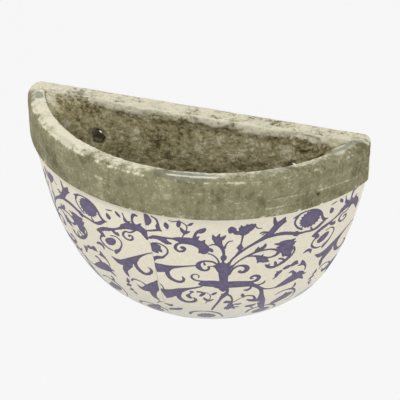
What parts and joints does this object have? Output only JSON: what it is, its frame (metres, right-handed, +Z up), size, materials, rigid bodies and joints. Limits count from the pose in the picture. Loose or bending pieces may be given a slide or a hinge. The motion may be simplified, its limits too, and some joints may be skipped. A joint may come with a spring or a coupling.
{
  "type": "wall planter",
  "caption": "Half-round wall planter: a deep bowl with a thick rim band, closed by a flat back slab with hanging holes, and printed with scrollwork below the band.",
  "frame": {"origin": "on the wall plane, midway between the two hanging holes", "axes": "+X along the wall to the right as seen from the front, +Y into the wall, +Z up"},
  "size_m": [0.2714, 0.1115, 0.1757],
  "materials": {
    "slab_clay": "rough matte, sandy, washed with pale slip",
    "bowl_glaze": "cream crackle glaze, satin",
    "band_clay": "matte olive-grey, brushed",
    "joint_clay": "rough matte, sandy",
    "printed_glaze": "cream crackle glaze with a purple-blue scroll print, satin"
  },
  "bodies": {
    "root": {"back_wall": "slab_clay", "bowl_shell": "bowl_glaze", "rim_band": "band_clay", "corner_clay_left": "joint_clay", "corner_clay_right": "joint_clay", "floor_coil": "joint_clay", "print_sheet_left": "printed_glaze", "print_sheet_right": "printed_glaze"}
  },
  "joints": []
}
